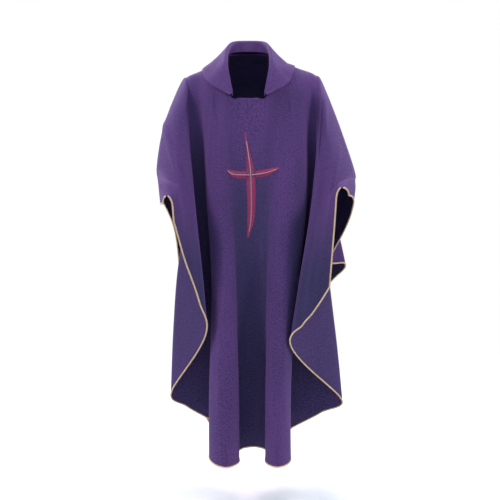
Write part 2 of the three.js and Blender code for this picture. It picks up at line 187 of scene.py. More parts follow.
# Studio
FLOOR_BELOW_HEM = 0.12
FLOOR_RADIUS = 3.2
FLOOR_FADES_FROM = 1.4
FLOOR_RINGS, FLOOR_SIDES = 24, 96
FLOOR_GRAIN = (35.0, 3.0)
FLOOR_GRAIN_RANGE = (0.3, 0.7)
FLOOR_DARK, FLOOR_LIGHT = (0.93, 0.93, 0.93, 1.0), (0.96, 0.96, 0.96, 1.0)
FLOOR_ROUGHNESS = 0.9
LAMPS = [
    # name, place, target, size, watts, tint
    ("key", (-2.9, -1.3, 1.9), (0, 0, -0.45), 1.2, 114, (1.0, 0.80, 0.95)),
    ("right", (3.0, -1.3, 1.7), (0, 0, -0.45), 1.2, 101, (1.0, 0.80, 0.96)),
    ("top", (0.0, -0.9, 2.4), (0, 0.05, -0.2), 1.4, 24, (1.0, 0.86, 0.97)),
    ("back_left", (-2.0, 3.4, 1.8), (0, 0, -0.55), 1.8, 130, (1.0, 0.92, 0.97)),
    ("back_right", (2.4, 3.0, 1.8), (0, 0, -0.55), 1.8, 80, (1.0, 0.92, 0.97)),
]
AMBIENT, AMBIENT_STRENGTH = (0.50, 0.92, 1.0, 1), 0.50
BACKDROP = (1, 1, 1, 1)

# Camera
CAMERA_PLACE = (0.0046, -4.2, -0.15)
CAMERA_DOWN = 6.056
CAMERA_LENS, CAMERA_SENSOR = 91.3, 36

# Shoulder-and-arm line from the wrists to the neck, and the neckline, as the CAD has them
RIGHT_ARM = [
    [-256, -235, -400], [-285, -140, -365], [-302, -15, -318], [-278, 0, -180], [-222, 0, -45],
    [-201, 0, -25], [-184, 0, -17], [-163, 0, -9], [-130, 0, 6], [-98, 0, 22], [-76, -2, 38],
]
LEFT_ARM = [
    [292, -235, -374], [330, -140, -352], [351, -12, -338], [300, 0, -185], [240, 0, -40],
    [219, 0, -20], [203, 0, -11], [182, 0, -4], [145, 0, 8], [104, 0, 22], [77, -2, 38],
]
FRONT_NECK = [
    [-75, -78, -2], [-67, -118, -48], [-54, -138, -93], [-26, -141, -95], [0, -142, -96],
    [26, -141, -95], [54, -138, -93], [67, -118, -48], [75, -78, -2],
]
BACK_NECK = [
    [-66, 34, 47], [-36, 55, 51], [0, 62, 52], [36, 55, 51], [66, 34, 47],
]

# Fold lines, as the CAD has them: [radius of the roll, plan points by level, height of the hem]
FRONT_RIGHT = [
    [35, [[-250, -235], [-240, -236], [-218, -222], [-200, -205], [-190, -200]], -480],
    [50, [[-275, -150], [-225, -205], [-198, -208], [-180, -200], [-172, -195]], -590],
    [60, [[-300, -60], [-215, -175], [-177, -196], [-160, -192], [-155, -190]], -670],
    [80, [[-262, -70], [-198, -145], [-160, -185], [-148, -188], [-145, -185]], -745],
    [80, [[-204, -84], [-176, -118], [-148, -160], [-128, -175], [-122, -175]], -848],
    [80, [[-190, -70], [-200, -60], [-236, -62], [-252, -60], [-262, -60]], -1062],
    [90, [[-172, -68], [-172, -40], [-190, -35], [-200, -35], [-205, -35]], -1120],
    [95, [[-152, -74], [-142, -45], [-120, -42], [-100, -40], [-98, -45]], -1190],
    [100, [[-128, -98], [-128, -105], [-117, -125], [-128, -140], [-131, -150]], -1260],
    [110, [[-104, -112], [-98, -140], [-85, -170], [-78, -200], [-80, -215]], -1277],
    [120, [[-86, -124], [-62, -148], [-48, -150], [-36, -160], [-33, -160]], -1276],
]
FRONT_CENTRE = [
    [90, [[-74, -131], [-46, -146], [-37, -128], [-36, -118], [-36, -110]], -1256],
    [60, [[-64, -135], [-33, -145], [-22, -118], [-24, -97], [-24, -88]], -1249],
    [30, [[-54, -139], [-22, -144], [-12, -112], [-8, -90], [-8, -78]], -1247],
    [20, [[-27, -142], [-11, -144], [-2, -109], [6, -88], [8, -74]], -1246],
    [20, [[0, -143], [0, -144], [8, -108], [14, -87], [16, -73]], -1246],
    [20, [[27, -142], [14, -144], [18, -108], [22, -87], [24, -72]], -1246],
    [30, [[54, -139], [28, -144], [28, -110], [32, -88], [34, -75]], -1247],
    [60, [[64, -135], [44, -145], [42, -116], [48, -96], [50, -86]], -1248],
    [90, [[73, -131], [62, -146], [58, -130], [60, -117], [61, -108]], -1252],
]
FRONT_LEFT = [
    [35, [[285, -235], [275, -236], [256, -220], [235, -205], [225, -200]], -690],
    [50, [[300, -150], [262, -205], [234, -210], [212, -200], [200, -195]], -735],
    [60, [[330, -60], [256, -170], [210, -198], [190, -195], [180, -190]], -779],
    [80, [[270, -75], [238, -140], [184, -188], [165, -185], [158, -180]], -816],
    [80, [[236, -85], [206, -118], [160, -170], [122, -180], [115, -178]], -884],
    [80, [[216, -72], [232, -60], [264, -62], [297, -60], [320, -60]], -1085],
    [90, [[204, -68], [208, -42], [212, -38], [230, -38], [245, -38]], -1140],
    [95, [[190, -78], [192, -56], [160, -44], [120, -42], [108, -45]], -1215],
    [100, [[170, -93], [182, -112], [157, -130], [138, -142], [137, -150]], -1266],
    [110, [[126, -110], [136, -142], [114, -172], [100, -200], [98, -215]], -1276],
    [120, [[88, -124], [84, -148], [70, -155], [60, -165], [58, -165]], -1274],
]
BACK_RIGHT = [
    [25, [[-275, -225], [-270, -228], [-252, -200], [-245, -180], [-240, -170]], -425],
    [40, [[-312, -120], [-288, -120], [-250, -100], [-240, -80], [-235, -70]], -434],
    [60, [[-318, 20], [-286, 10], [-240, 0], [-235, 0], [-232, 0]], -446],
    [80, [[-285, 75], [-250, 55], [-232, 30], [-226, 25], [-224, 25]], -600],
    [80, [[-228, 85], [-245, 95], [-222, 60], [-222, 45], [-225, 40]], -900],
    [80, [[-200, 92], [-208, 118], [-208, 110], [-222, 90], [-232, 75]], -1060],
    [90, [[-178, 98], [-172, 126], [-180, 142], [-198, 150], [-210, 150]], -1152],
    [95, [[-152, 106], [-140, 122], [-144, 112], [-152, 106], [-158, 105]], -1180],
    [100, [[-126, 114], [-114, 130], [-112, 150], [-114, 180], [-118, 200]], -1262],
    [110, [[-100, 120], [-88, 132], [-82, 126], [-80, 122], [-80, 122]], -1286],
    [115, [[-78, 125], [-64, 138], [-54, 155], [-46, 185], [-44, 205]], -1292],
]
BACK_CENTRE = [
    [115, [[-56, 128], [-42, 138], [-32, 140], [-24, 142], [-22, 142]], -1288],
    [115, [[-30, 131], [-22, 138], [-12, 134], [-8, 124], [-6, 122]], -1284],
    [115, [[0, 132], [0, 139], [8, 142], [12, 152], [14, 158]], -1286],
    [115, [[30, 131], [22, 138], [28, 150], [36, 176], [38, 192]], -1290],
    [115, [[56, 128], [42, 138], [48, 142], [56, 150], [60, 156]], -1288],
]
BACK_LEFT = [
    [25, [[320, -225], [314, -226], [290, -200], [280, -180], [272, -170]], -398],
    [40, [[364, -120], [342, -118], [300, -90], [278, -80], [270, -70]], -436],
    [60, [[370, 20], [332, 5], [252, -25], [250, -20], [250, -20]], -622],
    [80, [[315, 75], [276, 45], [330, 15], [300, 20], [300, 20]], -648],
    [80, [[246, 85], [262, 95], [250, 60], [252, 45], [262, 40]], -760],
    [80, [[218, 92], [226, 118], [228, 112], [250, 92], [268, 78]], -1060],
    [90, [[196, 98], [190, 126], [200, 142], [224, 150], [238, 150]], -1176],
    [95, [[170, 106], [158, 122], [164, 110], [176, 102], [184, 100]], -1200],
    [100, [[140, 114], [130, 130], [132, 150], [140, 180], [144, 200]], -1258],
    [110, [[110, 120], [100, 132], [98, 128], [104, 122], [108, 120]], -1284],
    [115, [[80, 125], [68, 138], [72, 128], [80, 116], [84, 112]], -1286],
]

# Collar, from its right front corner to the middle of the back: seam, roll and free edge
COLLAR = [
    [[-52, -138, -88], [-50, -146, -80], [-60, -150, -84]],
    [[-63, -119, -43], [-59, -132, -34], [-96, -136, -66]],
    [[-71, -79, 3], [-68, -96, 18], [-130, -106, -42]],
    [[-72, -10, 43], [-66, -34, 60], [-150, -40, 8]],
    [[-60, 30, 54], [-56, 16, 82], [-144, 38, 14]],
    [[-34, 50, 58], [-38, 50, 92], [-96, 106, 14]],
    [[0, 56, 59], [0, 60, 94], [0, 140, 10]],
]

# Blades of the cross: place along the blade, and its two sides
UPRIGHT = [
    [-204, -12, -11], [-235, -9, -4], [-270, -6, 4], [-320, -6, 17], [-372, -5, 21],
    [-440, -3, 21], [-480, -3, 18], [-510, -3, 10], [-542, -3, -2],
]
RIGHT_ARM_BLADE = [[-69, -325, -323], [-52, -345, -326], [-26, -349, -328], [-7, -349, -328]]
LEFT_ARM_BLADE = [[22, -346, -328], [54, -343, -322], [72, -336, -318], [98, -319, -317]]

# Silver cord on each blade: the stations it follows, and the first and last place on them
UPRIGHT_CORD = (UPRIGHT, 0.9, 7.3)
RIGHT_ARM_CORD = (RIGHT_ARM_BLADE + [[4, -348, -329]], 0.3, 4)
LEFT_ARM_CORD = ([[9, -348, -329]] + LEFT_ARM_BLADE, 0, 3.6)


def along(rows, t):
    """Smooth curve through rows, one row per whole step of t; t may be an array."""
    rows = np.asarray(rows, float)
    t = np.atleast_1d(np.asarray(t, float))
    i = np.clip(np.floor(t).astype(int), 0, len(rows) - 2)
    u = (t - i).reshape((-1,) + (1,) * (rows.ndim - 1))
    b, c = rows[i], rows[i + 1]
    slope_in = (c - rows[np.maximum(i - 1, 0)]) / 2
    slope_out = (rows[np.minimum(i + 2, len(rows) - 1)] - b) / 2
    rise = c - b
    return b + u * (slope_in + u * (3 * rise - 2 * slope_in - slope_out
                                    + u * (slope_in + slope_out - 2 * rise)))


def panel(neck, right, centre, left):
    """A panel's support line with its fold lines, from the right wrist to the left."""
    tops = RIGHT_ARM + neck + LEFT_ARM[::-1]
    folds = right + centre + left[::-1]
    return {
        "top": np.array(tops, float),
        "roll": np.array([f[0] for f in folds], float),
        "plan": np.array([f[1] for f in folds], float),
        "hem": np.array([f[2] for f in folds], float),
    }


def hanging(plan, z):
    """Plan points at heights z, from one thread's points at each level."""
    xy = along(plan, np.maximum(0, (FIRST_LEVEL - z) / LEVEL_STEP))
    return np.column_stack([xy, z])


def thread(side, s):
    """One vertical thread: its points over the roll and down to the hem, in millimetres."""
    top, plan = along(side["top"], s)[0], along(side["plan"], s)[0]
    roll, hem = along(side["roll"], s)[0], along(side["hem"], s)[0]
    angle = np.linspace(0, math.pi / 2, ROLL_ROWS, endpoint=False)
    z = top[2] - roll * (1 - np.cos(angle))
    share = np.sin(angle)[:, None]
    over = top * (1 - share) + hanging(plan, z) * share
    over[:, 2] = z
    return np.vstack([over, hanging(plan, np.linspace(top[2] - roll, hem, DROP_ROWS + 1))])


def cloth_grid(side):
    """A panel's points in metres: one column for each thread, one row for each step down."""
    last = len(side["top"]) - 1
    count = last * PER_FOLD
    return np.array([thread(side, last * i / count) for i in range(count + 1)]) * MM


def grid_normals(grid):
    """Unit normals at the grid's points."""
    across = np.gradient(grid, axis=0)
    down = np.gradient(grid, axis=1)
    n = np.cross(down, across)
    return n / np.maximum(np.linalg.norm(n, axis=2, keepdims=True), 1e-12)


def smooth_step(low, high, value):
    """0 up to low, 1 from high on, and an even ramp between them."""
    t = np.clip((value - low) / (high - low), 0, 1)
    return t * t * (3 - 2 * t)


def soft_noise(points, seed):
    """Smooth noise from -1 to 1 at an array of 3-D points."""
    shift = Vector([seed * k for k in NOISE_SHIFT])
    flat = points.reshape(-1, 3)
    values = [noise.noise(Vector(p) + shift) for p in flat.tolist()]
    return np.array(values).reshape(points.shape[:-1])


def run_lengths(points):
    """Distance along a row of points at each of them."""
    return np.concatenate([[0], np.cumsum(np.linalg.norm(np.diff(points, axis=0), axis=1))])


def arc_lengths(grid):
    """Distance across and down the cloth at each grid point."""
    across = np.linalg.norm(np.diff(grid, axis=0), axis=2).mean(axis=1)
    down = np.linalg.norm(np.diff(grid, axis=1), axis=2)
    u = np.concatenate([[0], np.cumsum(across)])[:, None] * np.ones((1, grid.shape[1]))
    v = np.concatenate([np.zeros((grid.shape[0], 1)), np.cumsum(down, axis=1)], axis=1)
    return u, v


def wrinkled(grid, seed):
    """Adds the soft unevenness of hanging cloth, long down the threads and short across."""
    u, v = arc_lengths(grid)
    free = smooth_step(FREE_FROM, FREE_AT, v)
    total = np.zeros_like(u)
    for layer, (across, down, height, held, gain) in enumerate((BROAD_WAVES, FINE_WAVES)):
        waves = np.stack([u * across, v * down, np.full_like(u, layer)], axis=2)
        total += soft_noise(waves, seed + layer) * height * (held + gain * free)
    return grid + grid_normals(grid) * total[:, :, None]


def creased(grid, creases, facing):
    """Adds ridges and furrows along straight lines in x and z, on the side that faces that way."""
    n = grid_normals(grid)
    height = np.zeros(grid.shape[:2])
    for x0, z0, x1, z1, half, rise in creases:
        a, b = np.array((x0, z0)) * MM, np.array((x1, z1)) * MM
        run = b - a
        place = (grid[:, :, (0, 2)] - a) @ run / (run @ run)
        off = (grid[:, :, (0, 2)] - a) @ np.array((-run[1], run[0])) / np.linalg.norm(run)
        fade = smooth_step(*CREASE_RISE, place) * (1 - smooth_step(*CREASE_FADE, place))
        height += fade * np.exp(-(off / (half * MM)) ** 2) * rise * MM
    return grid + n * (height * (n[:, :, 1] * facing > CREASE_FACING))[:, :, None]


def border(grid):
    """The free edge: down one side, along the hem and up the other."""
    return np.vstack([grid[0, 1:], grid[1:-1, -1], grid[-1, :0:-1]])


def mesh_object(name, points, faces, material):
    """A smooth-shaded mesh in the scene."""
    mesh = bpy.data.meshes.new(name)
    mesh.from_pydata([tuple(p) for p in points], [], faces)
    mesh.polygons.foreach_set("use_smooth", [True] * len(mesh.polygons))
    mesh.materials.append(material)
    mesh.update()
    obj = bpy.data.objects.new(name, mesh)
    bpy.context.scene.collection.objects.link(obj)
    return obj


def grid_faces(columns, rows, closed=False):
    """Quads over a grid of points, and round it if each column is a closed ring."""
    faces = []
    for i in range(columns - 1):
        for j in range(rows if closed else rows - 1):
            k = (j + 1) % rows
            faces.append((i * rows + j, i * rows + k, (i + 1) * rows + k, (i + 1) * rows + j))
    return faces


def attribute(obj, name, values):
    """Stores three values at each point, for the material to read."""
    a = obj.data.attributes.new(name, "FLOAT_VECTOR", "POINT")
    a.data.foreach_set("vector", np.asarray(values, float).ravel())


def fold_depth(grid):
    """How deep each point lies in its folds: 0 on a crest, 1 at the bottom of a valley."""
    n = grid_normals(grid)
    depth = np.zeros(grid.shape[:2])
    for reach in FOLD_REACHES:
        low = np.maximum(np.arange(len(grid)) - reach, 0)
        high = np.minimum(np.arange(len(grid)) + reach, len(grid) - 1)
        chord = (grid[low] + grid[high]) / 2
        depth = np.maximum(depth, np.einsum("ijk,ijk->ij", chord - grid, n) / FULL_FOLD)
    return np.clip(depth, 0, 1)


def painted_shade_depth(grid, side, hollows):
    """Where shade is painted into the cloth's colour: in the side valleys and, as far as the panel
    has them, in the broad hollows down its middle, under its sleeves and beside its left pleat."""
    last = len(side["top"]) - 1
    fold = np.linspace(0, last, len(grid))[:, None]
    from_left = last - fold
    inward = np.minimum(fold, from_left)
    drop = -grid[:, :, 2]
    valleys = smooth_step(*VALLEY_FOLDS, inward) * smooth_step(*VALLEY_DROP, drop)
    middle = smooth_step(*MIDDLE_FOLDS, inward) * smooth_step(*MIDDLE_DROP, drop) * MIDDLE_SHARE
    sleeves = (1 - smooth_step(*SLEEVE_FOLDS, inward)) * smooth_step(*SLEEVE_DROP, drop)
    flank = smooth_step(*FLANK_FOLDS, from_left) * (1 - smooth_step(*FLANK_FOLDS_END, from_left))
    flank = flank * smooth_step(*FLANK_DROP, drop) * (1 - smooth_step(*FLANK_DROP_END, drop))
    broad = np.maximum(np.maximum(middle, sleeves), flank * FLANK_SHARE)
    return np.maximum(fold_depth(grid) * valleys * VALLEY_SHARE, broad * hollows)


def from_edge(grid, edge):
    """Each point's distance from the edge, and how far along the edge its nearest point lies."""
    distance = np.ones(grid.shape[:2])
    place = np.zeros(grid.shape[:2])
    if edge is not None:
        tree = KDTree(len(edge))
        for i, p in enumerate(edge):
            tree.insert(p, i)
        tree.balance()
        lengths = run_lengths(edge)
        for k, p in enumerate(grid.reshape(-1, 3)):
            _, i, distance.flat[k] = tree.find(p)
            place.flat[k] = lengths[i]
    return distance, place


def sheet_object(name, grid, thickness, material, edge=None, lining=None, depth=None):
    """A sheet of cloth from a grid, with its weave coordinates, its distance from the edge and its
    share of painted shade.
    """
    obj = mesh_object(name, grid.reshape(-1, 3), grid_faces(*grid.shape[:2]), material)
    u, v = arc_lengths(grid)
    attribute(obj, "weave", np.stack([u, v, np.zeros_like(u)], axis=2))
    distance, place = from_edge(grid, edge)
    depth = np.zeros_like(place) if depth is None else depth
    attribute(obj, "edge", np.stack([distance, place, depth], axis=2))
    solid = obj.modifiers.new("thickness", "SOLIDIFY")
    solid.thickness = thickness
    solid.offset = 0
    if lining is not None:
        obj.data.materials.append(lining)
        solid.material_offset = 1
    return obj


def even_path(points, step):
    """Points at even steps along a smooth curve through the given points."""
    spans = len(points) - 1
    fine = along(points, np.linspace(0, spans, spans * PATH_REFINES + 1))
    lengths = run_lengths(fine)
    at = np.linspace(0, lengths[-1], max(2, int(lengths[-1] / step)))
    return np.column_stack([np.interp(at, lengths, fine[:, k]) for k in range(3)])


def twisted_cord(name, path, radius, pitch, sides, material, groove):
    """A twisted cord: its section has one lobe for each ply and turns along the path."""
    tangent = np.gradient(path, axis=0)
    tangent /= np.linalg.norm(tangent, axis=1, keepdims=True)
    side = np.cross(tangent[0], (0, 0, 1))
    if np.linalg.norm(side) < 0.1:
        side = np.cross(tangent[0], (1, 0, 0))
    step = np.linalg.norm(path[1] - path[0])
    points, weave = [], []
    for i, (p, t) in enumerate(zip(path, tangent)):
        side = side - t * side.dot(t)
        side /= np.linalg.norm(side)
        up = np.cross(t, side)
        turn = 2 * math.pi * i * step / pitch
        fade = min(1, (min(i, len(path) - 1 - i) + END_SHARE) / END_STEPS)
        for k in range(sides):
            a = 2 * math.pi * k / sides
            lobe = 1 - groove + groove * abs(math.cos(PLIES * (a - turn) / 2))
            points.append(p + (side * math.cos(a) + up * math.sin(a)) * radius * lobe * fade)
            weave.append(((a - turn) / (2 * math.pi) * PLIES, i * step, lobe))
    faces = grid_faces(len(path), sides, closed=True)
    faces.append(tuple(range(sides)))
    faces.append(tuple(range(len(points) - 1, len(points) - sides - 1, -1)))
    obj = mesh_object(name, points, faces, material)
    attribute(obj, "weave", weave)
    return obj


# ---------------------------------------------------------------- materials

class Nodes:
    """A short way to write a node tree."""

    def __init__(self, name):
        self.material = bpy.data.materials.new(name)
        self.material.use_nodes = True
        self.tree = self.material.node_tree
        self.shader = self.tree.nodes["Principled BSDF"]

    def add(self, kind, inputs=(), **settings):
        node = self.tree.nodes.new("ShaderNode" + kind)
        for key, value in settings.items():
            setattr(node, key, value)
        for key, value in dict(inputs).items():
            if isinstance(value, bpy.types.NodeSocket):
                self.tree.links.new(value, node.inputs[key])
            else:
                node.inputs[key].default_value = value
        return node

    def link(self, output, name):
        self.tree.links.new(output, self.shader.inputs[name])

    def math(self, operation, a, b=0.0):
        return self.add("Math", {0: a, 1: b}, operation=operation).outputs[0]

    def attribute(self, name):
        return self.add("Attribute", attribute_name=name).outputs["Vector"]

    def scaled(self, vector, scale):
        return self.add("VectorMath", {0: vector, 1: scale}, operation="MULTIPLY").outputs[0]

    def noise(self, vector, scale, detail=2.0):
        node = self.add("TexNoise", {"Vector": vector, "Scale": scale, "Detail": detail})
        return node.outputs["Fac"]

    def blend(self, share, a, b, kind="MIX"):
        node = self.add("Mix", data_type="RGBA", blend_type=kind)
        for socket, value in zip((node.inputs[0], node.inputs[6], node.inputs[7]), (share, a, b)):
            if isinstance(value, bpy.types.NodeSocket):
                self.tree.links.new(value, socket)
            else:
                socket.default_value = value
        return node.outputs[2]

    def ranged(self, value, low, high, to_low=0.0, to_high=1.0):
        node = self.add("MapRange", {0: value, 1: low, 2: high, 3: to_low, 4: to_high})
        return node.outputs[0]

    def bump(self, height, strength, distance):
        node = self.add("Bump", {"Height": height, "Strength": strength, "Distance": distance})
        self.link(node.outputs["Normal"], "Normal")


def colour(r, g, b):
    return (r, g, b, 1.0)


# Patterns of the cloth: noise scale across, down and in depth, and detail
PATTERNS = {
    "drift": ((10, 3, 1), 3.0), "slub": ((700, 60, 1), 3.0), "weft_slub": ((40, 600, 1), 2.0),
    "streak": ((230, 14, 1), 3.0), "grain": ((620, 150, 1), 1.0), "mottle": ((260, 170, 1), 1.0),
}

# Shade changes one over another: pattern, its low and high, the share at each, and the yarn
SHADES = [
    ("slub", 0.35, 0.7, 0.0, 0.55, "base"), ("weft_slub", 0.5, 0.75, 0.0, 0.35, "light"),
    ("yarns", -1, 1, 0.16, 0.0, "dark"), ("streak", 0.42, 0.68, 0.0, 0.55, "dark"),
    ("grain", 0.5, 0.7, 0.0, 0.8, "light"), ("grain", 0.3, 0.46, 0.6, 0.0, "dark"),
    ("mottle", 0.5, 0.68, 0.0, 0.7, "dark"), ("mottle", 0.34, 0.5, 0.6, 0.0, "light"),
]
DRIFT_RANGE = (0.3, 0.7)
YARN_HEIGHT, SLUB_HEIGHT = 0.5, 0.7
CLOTH_ROUGHNESS = (0.2, 0.8, 0.72, 0.92)
CLOTH_SPECULAR = 0.22
SHEEN_ROUGHNESS = 0.45
SHEEN_TINT = colour(0.72, 0.42, 0.95)
CLOTH_BUMP = (0.35, 0.0004)

# What the topstitched hem does to the height, and the shade painted into its furrow
DASH_RANGE = (-0.6, -0.2)
HEM_FOLD_RISE, HEM_FURROW_SINK, HEM_STITCH_RISE = 1.2, 2.0, 2.6
HEM_FURROW_PAINTED_SHADE = 0.5


def topstitched(n, edge, height, shade, dark):
    """A turned hem with a row of stitches sunk along it: the new height and colour, with shade
    painted into the sunk furrow.
    """
    line = n.math("ABSOLUTE", n.math("SUBTRACT", edge.outputs[0], HEM_STITCH))
    row = n.ranged(line, *HEM_FURROW, 1.0, 0.0)
    turns = n.math("MULTIPLY", edge.outputs[1], 2 * math.pi / HEM_STITCH_LENGTH)
    stitch = n.math("MULTIPLY", row, n.ranged(n.math("SINE", turns), *DASH_RANGE))
    fold = n.ranged(edge.outputs[0], *HEM_FOLD, 1.0, 0.0)
    height = n.math("ADD", height, n.math("MULTIPLY", fold, HEM_FOLD_RISE))
    height = n.math("SUBTRACT", height, n.math("MULTIPLY", row, HEM_FURROW_SINK))
    height = n.math("ADD", height, n.math("MULTIPLY", stitch, HEM_STITCH_RISE))
    # Painted shade along the furrow the stitches sink into
    return height, n.blend(n.math("MULTIPLY", row, HEM_FURROW_PAINTED_SHADE), shade, dark)


def woven(name, base, light, dark, sheen, pitch, stitched=False):
    """Plain-woven cloth: two sets of yarns, slubs along the threads and soft shade changes."""
    n = Nodes(name)
    weave = n.attribute("weave")
    split = n.add("SeparateXYZ", {0: weave})
    warp, weft = (n.math("SINE", n.math("MULTIPLY", split.outputs[k], 2 * math.pi / pitch))
                  for k in (0, 1))
    pattern = {key: n.noise(n.scaled(weave, scale), 1.0, detail)
               for key, (scale, detail) in PATTERNS.items()}
    pattern["yarns"] = n.math("MULTIPLY", warp, weft)
    yarn = {"base": base, "light": light, "dark": dark}
    shade = n.blend(n.ranged(pattern["drift"], *DRIFT_RANGE), dark, light)
    for key, *span, tone in SHADES:
        shade = n.blend(n.ranged(pattern[key], *span), shade, yarn[tone])
    height = n.math("ADD", n.math("MULTIPLY", pattern["yarns"], YARN_HEIGHT),
                    n.math("MULTIPLY", pattern["slub"], SLUB_HEIGHT))
    edge = n.add("SeparateXYZ", {0: n.attribute("edge")})
    # Painted shade: folds and hollows are darkened and turned bluer by the share in the edge
    # attribute's third value
    shade = n.blend(n.math("MULTIPLY", edge.outputs[2], PAINTED_SHADE_SHARE), shade, PAINTED_SHADE_TINT, "MULTIPLY")
    if stitched:
        height, shade = topstitched(n, edge, height, shade, dark)
    n.link(shade, "Base Color")
    n.link(n.ranged(pattern["slub"], *CLOTH_ROUGHNESS), "Roughness")
    n.shader.inputs["Specular IOR Level"].default_value = CLOTH_SPECULAR
    n.shader.inputs["Sheen Weight"].default_value = sheen
    n.shader.inputs["Sheen Roughness"].default_value = SHEEN_ROUGHNESS
    n.shader.inputs["Sheen Tint"].default_value = SHEEN_TINT
    n.bump(height, *CLOTH_BUMP)
    return n.material


# Twisted cord: turns of the strands round and along it, noises, grooves with their painted shade,
# shares and bump
STRAND_TURNS, STRAND_RUN = 44.0, 2600.0
CORD_WEAR, CORD_WEAR_RANGE = ((3, 160, 1), 3.0), (0.35, 0.65)
CORD_DRIFT, CORD_DRIFT_RANGE = ((0.5, 9, 1), 2.0), (0.4, 0.7, 0.0, 0.4)
GROOVE_RANGE, GROOVE_PAINTED_SHADE = (0.8, 0.93, 1.0, 0.0), 0.75
STRAND_SHADE = (-1, 1, 0.35, 0.0)
CORD_SMOOTHER, CORD_ROUGHER = 0.1, 0.15
CORD_BUMP = (0.5, 0.0002)
WORN_RANGE = (0.2, 0.8)


def cord_material(name, bright, deep, pale, metal, rough):
    """Twisted thread: strands run round each ply, and shade is painted into the grooves between the
    plies.
    """
    n = Nodes(name)
    weave = n.attribute("weave")
    split = n.add("SeparateXYZ", {0: weave})
    strand = n.math("SINE", n.math("ADD", n.math("MULTIPLY", split.outputs[0], STRAND_TURNS),
                                   n.math("MULTIPLY", split.outputs[1], STRAND_RUN)))
    worn = n.noise(n.scaled(weave, CORD_WEAR[0]), 1.0, CORD_WEAR[1])
    drift = n.noise(n.scaled(weave, CORD_DRIFT[0]), 1.0, CORD_DRIFT[1])
    groove = n.ranged(split.outputs[2], *GROOVE_RANGE)
    shade = n.blend(n.ranged(worn, *CORD_WEAR_RANGE), bright, pale)
    shade = n.blend(n.ranged(drift, *CORD_DRIFT_RANGE), shade, bright)
    shade = n.blend(n.ranged(strand, *STRAND_SHADE), shade, deep)
    # Painted shade: darker towards the bottom of each groove between the plies
    shade = n.blend(n.math("MULTIPLY", groove, GROOVE_PAINTED_SHADE), shade, deep)
    n.link(shade, "Base Color")
    n.shader.inputs["Metallic"].default_value = metal
    n.link(n.ranged(worn, *WORN_RANGE, rough - CORD_SMOOTHER, rough + CORD_ROUGHER), "Roughness")
    n.bump(strand, *CORD_BUMP)
    return n.material


# Satin stitch: fibre noise, shares of the deep and the pale shade, sheen and bump
FIBRE = ((120, 9000, 1), 2.0)
THREAD_DEEP, THREAD_PALE = (0.0, 1.0, 0.0, 0.7), (0.45, 0.75, 0.0, 0.5)
THREAD_ROUGHER = 0.2
THREAD_SHEEN, THREAD_ANISOTROPY = 0.3, 0.4
THREAD_BUMP = (0.3, 0.0001)


def thread_material(name, bright, deep, pale, rough):
    """Satin stitch: glossy parallel threads with small changes of shade from one to the next."""
    n = Nodes(name)
    weave = n.attribute("weave")
    split = n.add("SeparateXYZ", {0: weave})
    each = n.add("TexWhiteNoise", {"W": split.outputs[2]}, noise_dimensions="1D").outputs["Value"]
    fibre = n.noise(n.scaled(weave, FIBRE[0]), 1.0, FIBRE[1])
    shade = n.blend(n.ranged(each, *THREAD_DEEP), bright, deep)
    shade = n.blend(n.ranged(fibre, *THREAD_PALE), shade, pale)
    n.link(shade, "Base Color")
    n.link(n.ranged(fibre, *WORN_RANGE, rough, rough + THREAD_ROUGHER), "Roughness")
    n.shader.inputs["Sheen Weight"].default_value = THREAD_SHEEN
    n.shader.inputs["Anisotropic"].default_value = THREAD_ANISOTROPY
    n.bump(fibre, *THREAD_BUMP)
    return n.material


# Felt: scale and detail of its fibres and clouds, their ranges, roughness and bump
FELT_FIBRE, FELT_FIBRE_RANGE = (900.0, 5.0), (0.35, 0.65)
FELT_CLOUD, FELT_CLOUD_RANGE = (60.0, 3.0), (0.4, 0.7, 0.0, 0.3)
FELT_ROUGHNESS = (0.85, 1.0)
FELT_BUMP = (0.4, 0.0003)


def felt(name, base, dark):
    """Non-woven stabiliser: short matted fibres."""
    n = Nodes(name)
    weave = n.attribute("weave")
    fibre = n.noise(weave, *FELT_FIBRE)
    cloud = n.noise(weave, *FELT_CLOUD)
    shade = n.blend(n.ranged(fibre, *FELT_FIBRE_RANGE), dark, base)
    n.link(n.blend(n.ranged(cloud, *FELT_CLOUD_RANGE), shade, dark), "Base Color")
    n.link(n.ranged(fibre, *WORN_RANGE, *FELT_ROUGHNESS), "Roughness")
    n.bump(fibre, *FELT_BUMP)
    return n.material


# Tint of the shade painted into the cloth's folds and hollows
PAINTED_SHADE_TINT = colour(0.27, 0.80, 0.52)
CLOTH_LOOK = woven("vestment_cloth", colour(0.074, 0.030, 0.126), colour(0.108, 0.044, 0.174),
                   colour(0.040, 0.022, 0.084), 0.22, 1.1 * MM, stitched=True)
LINING_LOOK = woven("vestment_inside", colour(0.058, 0.031, 0.112), colour(0.076, 0.040, 0.138),
                    colour(0.036, 0.024, 0.080), 0.15, 1.1 * MM, stitched=True)
COLLAR_LOOK = woven("collar_cloth", colour(0.076, 0.031, 0.128), colour(0.110, 0.045, 0.176),
                    colour(0.042, 0.023, 0.086), 0.22, 1.1 * MM, stitched=True)
FACING_LOOK = woven("facing_cloth", colour(0.050, 0.030, 0.100), colour(0.066, 0.038, 0.124),
                    colour(0.034, 0.022, 0.074), 0.1, 0.9 * MM)
GOLD_LOOK = cord_material("gold_braid", colour(0.70, 0.43, 0.20), colour(0.30, 0.16, 0.065),
                          colour(0.95, 0.76, 0.52), 0.2, 0.42)
SILVER_LOOK = cord_material("silver_twist", colour(0.42, 0.38, 0.42), colour(0.16, 0.12, 0.16),
                            colour(0.66, 0.62, 0.66), 0.55, 0.35)
CRIMSON_LOOK = thread_material("crimson_thread", colour(0.42, 0.010, 0.105),
                               colour(0.17, 0.012, 0.070), colour(0.50, 0.05, 0.18), 0.42)
